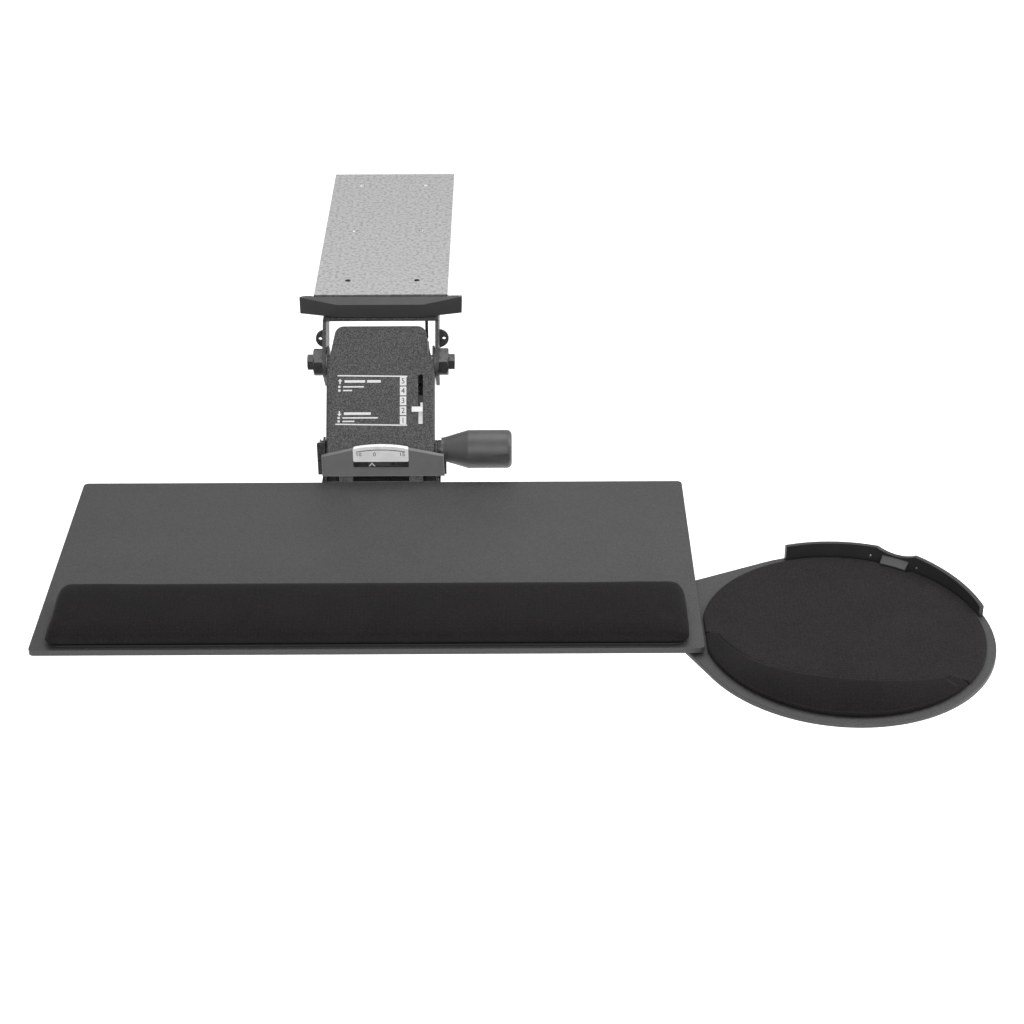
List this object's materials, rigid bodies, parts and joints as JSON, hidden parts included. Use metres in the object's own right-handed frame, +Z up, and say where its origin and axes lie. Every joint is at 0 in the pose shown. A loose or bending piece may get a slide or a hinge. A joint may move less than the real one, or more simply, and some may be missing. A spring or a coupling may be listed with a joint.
{
  "type": "under-desk keyboard tray",
  "caption": "Under-desk keyboard tray: board with palm rest and round mouse platform on a height, tilt and swivel arm that slides in a desk track.",
  "frame": {"origin": "middle of the track's top face, which is screwed to the underside of the desk", "axes": "+X to the user's right, +Y away from the user along the track, +Z up into the desk"},
  "size_m": [0.7305, 0.7163, 0.1481],
  "materials": {
    "track_zinc": "bright zinc plate",
    "cap_plastic": "satin, fine grain",
    "black_screws": "black oxide",
    "stop_rubber": "matte",
    "zinc_steel": "zinc plated",
    "nylon": "natural nylon",
    "bracket_coat": "textured powder coat",
    "black_oxide": "black oxide",
    "spring_steel": "oiled spring wire",
    "arm_coat": "hammered powder coat with fine speckle",
    "black_slider": "matte",
    "white_mark": "matte",
    "cover_plastic": "satin, moulded grain",
    "gauge_print": "printed light grey plate",
    "grey_slider": "matte",
    "knob_plastic": "satin, moulded",
    "board_laminate": "pebbled laminate with fine speckle",
    "base_plastic": "matte",
    "palm_fabric": "smooth stretch knit",
    "brass_insert": "machined",
    "pad_fabric": "fine woven cloth on foam",
    "fence_plastic": "satin, moulded",
    "saddle_plastic": "matte light grey"
  },
  "bodies": {
    "track_body": {"track": "track_zinc", "track_cap": "cap_plastic", "cap_screws": "black_screws", "front_stop": "stop_rubber", "rear_stop": "stop_rubber"},
    "carriage_body": {"carriage": "zinc_steel", "glide_left": "nylon", "glide_right": "nylon", "swivel_disc": "nylon", "swivel_rivet": "zinc_steel"},
    "bracket_body": {"swivel_bracket": "bracket_coat", "swivel_washer": "zinc_steel", "pivot_sleeve": "zinc_steel", "sleeve_nuts": "black_oxide", "pivot_bolt": "black_oxide", "pivot_nut": "black_oxide", "friction_washers": "nylon", "spring_left": "spring_steel", "spring_right": "spring_steel", "upper_link_pin": "zinc_steel"},
    "arm_body": {"arm": "arm_coat"},
    "pointer_body": {"height_slider": "black_slider", "height_mark": "white_mark"},
    "link_body": {"tie_link": "bracket_coat"},
    "head_body": {"head_frame": "bracket_coat", "head_cover": "cover_plastic", "cover_screws": "black_screws", "gauge_plate": "gauge_print", "lower_link_pin": "zinc_steel"},
    "knob_body": {"tilt_shaft": "black_oxide", "shaft_clip": "spring_steel", "tilt_knob": "knob_plastic", "knob_pin": "zinc_steel"},
    "slider_body": {"tilt_slider": "grey_slider", "tilt_arrow": "white_mark"},
    "tray_body": {"tray_bracket": "bracket_coat", "bracket_screws": "black_screws", "tray_board": "board_laminate", "palm_rest_base": "base_plastic", "palm_rest": "palm_fabric", "platform_post": "black_oxide", "post_washer": "nylon", "threaded_insert": "brass_insert"},
    "platform_body": {"mouse_platform": "board_laminate", "mouse_pad": "pad_fabric", "mouse_palm_rest": "palm_fabric", "fence": "fence_plastic", "fence_screws": "black_screws", "cord_saddle": "saddle_plastic"}
  },
  "joints": [
    {"name": "carriage_slide", "type": "slide", "parent": "track_body", "child": "carriage_body", "axis": [0, 1, 0], "range_m": [0, 0.14]},
    {"name": "swivel", "type": "hinge", "parent": "carriage_body", "child": "bracket_body", "pos_m": [0, -0.0997, -0.016], "axis": [0, 0, 1], "range_deg": [-180, 180]},
    {"name": "arm_lift", "type": "hinge", "parent": "bracket_body", "child": "arm_body", "pos_m": [0, -0.1637, -0.0524], "axis": [-1, 0, 0], "range_deg": [-15, 45]},
    {"name": "pointer_slide", "type": "slide", "parent": "arm_body", "child": "pointer_body", "axis": [0, 0.6266, 0.7793], "range_m": [-0.0085, 0.0253]},
    {"name": "link_swing", "type": "hinge", "parent": "bracket_body", "child": "link_body", "pos_m": [0, -0.1537, -0.0704], "axis": [-1, 0, 0], "range_deg": [-15.1, 45.1]},
    {"name": "head_level", "type": "hinge", "parent": "arm_body", "child": "head_body", "pos_m": [0, -0.21163, -0.11202], "axis": [-1, 0, 0], "range_deg": [-45.1, 15.1]},
    {"name": "tray_tilt", "type": "hinge", "parent": "head_body", "child": "tray_body", "pos_m": [0, -0.21163, -0.11202], "axis": [-1, 0, 0], "range_deg": [-10, 15]},
    {"name": "knob_turn", "type": "hinge", "parent": "head_body", "child": "knob_body", "pos_m": [0, -0.21163, -0.11202], "axis": [1, 0, 0], "range_deg": [-361, 541]},
    {"name": "slider_travel", "type": "slide", "parent": "head_body", "child": "slider_body", "axis": [1, 0, 0], "range_m": [-0.0162, 0.0242]},
    {"name": "platform_swing", "type": "hinge", "parent": "tray_body", "child": "platform_body", "pos_m": [0.2302, -0.41563, -0.13802], "axis": [0, 0, 1], "range_deg": [0, 30]}
  ],
  "couplings": [
    {"joint": "head_level", "follows": "arm_lift", "ratio": -1},
    {"joint": "link_swing", "follows": "arm_lift", "ratio": 1},
    {"joint": "pointer_slide", "follows": "arm_lift", "m_per_rad": 0.0321},
    {"joint": "knob_turn", "follows": "tray_tilt", "ratio": 36},
    {"joint": "slider_travel", "follows": "tray_tilt", "m_per_rad": 0.0917}
  ]
}
